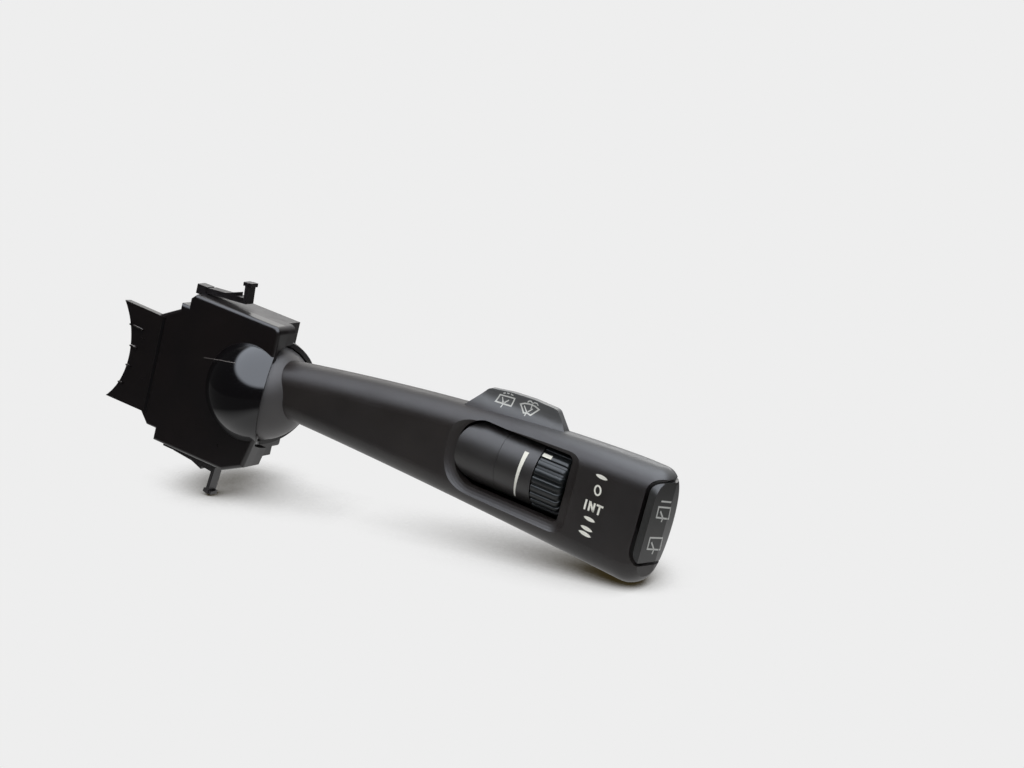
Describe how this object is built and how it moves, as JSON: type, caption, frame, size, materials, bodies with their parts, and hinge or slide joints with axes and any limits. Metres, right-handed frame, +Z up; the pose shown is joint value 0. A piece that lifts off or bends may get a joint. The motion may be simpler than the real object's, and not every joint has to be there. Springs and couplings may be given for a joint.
{
  "type": "combination stalk switch",
  "caption": "Steering-column stalk for wipers and washers: snap-in switch housing, ball-jointed paddle lever, interval thumbwheel and end rocker.",
  "frame": {"origin": "on the flat rear seating face of the housing, level with the ball pivot and 22 mm from it towards the column", "axes": "+X along the lever to its tip, -Y to the driver, +Z up as installed"},
  "size_m": [0.2004, 0.0443, 0.0709],
  "materials": {
    "housing_plastic": "satin brown-black moulded plastic",
    "connector_plastic": "satin black moulded plastic",
    "tinned_brass": "tinned",
    "board": "green laminate",
    "slider_plastic": "natural acetal",
    "brass": "bright",
    "steel": "zinc plated",
    "dome_plastic": "semi-gloss dark grey",
    "lever_soft_touch": "fine-grained soft-touch charcoal",
    "drum_plastic": "satin charcoal",
    "dial_plastic": "semi-gloss black",
    "rocker_plastic": "satin charcoal",
    "pad_rubber": "silicone"
  },
  "bodies": {
    "root": {"front_cover": "housing_plastic", "base_shell": "housing_plastic", "connector_socket": "connector_plastic", "connector_pins": "tinned_brass", "contact_board": "board", "detent_block": "slider_plastic"},
    "upper_latch": {"upper_latch_arm": "housing_plastic"},
    "lower_latch": {"lower_latch_arm": "housing_plastic"},
    "speed_slider": {"speed_slider": "slider_plastic", "speed_contact": "brass"},
    "gimbal": {"gimbal": "slider_plastic", "cross_pin": "steel"},
    "washer_slider": {"washer_slider": "slider_plastic"},
    "lever": {"ball_dome": "dome_plastic", "lever_core": "slider_plastic", "lever_front_shell": "lever_soft_touch", "lever_rear_shell": "lever_soft_touch", "drum_insert": "drum_plastic", "marked_drum": "drum_plastic", "resistor_disc": "board", "rocker_pin": "steel", "lever_board": "board", "rocker_board": "board", "rocker_pads": "pad_rubber", "lever_screws": "steel", "plunger_spring": "steel"},
    "plunger": {"detent_plunger": "slider_plastic"},
    "dial": {"interval_dial": "dial_plastic", "dial_wiper": "brass"},
    "rocker": {"end_rocker": "rocker_plastic"}
  },
  "joints": [
    {"name": "speed_swing", "type": "hinge", "parent": "root", "child": "gimbal", "pos_m": [0.022, -0.012, 0], "axis": [0, 1, 0], "range_deg": [-6, 18]},
    {"name": "washer_swing", "type": "hinge", "parent": "gimbal", "child": "lever", "pos_m": [0.022, -0.012, 0], "axis": [0, 0, 1], "range_deg": [-7, 7], "stiffness_Nm_per_rad": 0.6},
    {"name": "dial_turn", "type": "hinge", "parent": "lever", "child": "dial", "pos_m": [0.131, -0.0098, 0.0099], "axis": [1, 0, 0], "range_deg": [0, 100]},
    {"name": "rocker_tilt", "type": "hinge", "parent": "lever", "child": "rocker", "pos_m": [0.1545, -0.01, 0.0105], "axis": [0, 1, 0], "range_deg": [-3.5, 3.5]},
    {"name": "upper_latch_flex", "type": "hinge", "parent": "root", "child": "upper_latch", "pos_m": [-0.0035, -0.0142, 0.0248], "axis": [0, 1, 0], "range_deg": [0, 4], "stiffness_Nm_per_rad": 1},
    {"name": "lower_latch_flex", "type": "hinge", "parent": "root", "child": "lower_latch", "pos_m": [-0.0035, -0.0142, -0.0288], "axis": [0, -1, 0], "range_deg": [0, 4], "stiffness_Nm_per_rad": 1},
    {"name": "speed_slide", "type": "slide", "parent": "root", "child": "speed_slider", "axis": [0, 0, 1], "range_m": [-0.0015, 0.0044]},
    {"name": "washer_slide", "type": "slide", "parent": "gimbal", "child": "washer_slider", "axis": [0, 1, 0], "range_m": [-0.0013, 0.0013]},
    {"name": "plunger_press", "type": "slide", "parent": "lever", "child": "plunger", "axis": [1, 0, 0], "range_m": [0, 0.0012], "stiffness_N_per_m": 300}
  ],
  "couplings": [
    {"joint": "speed_slide", "follows": "speed_swing", "m_per_rad": 0.014},
    {"joint": "washer_slide", "follows": "washer_swing", "m_per_rad": -0.0105}
  ]
}
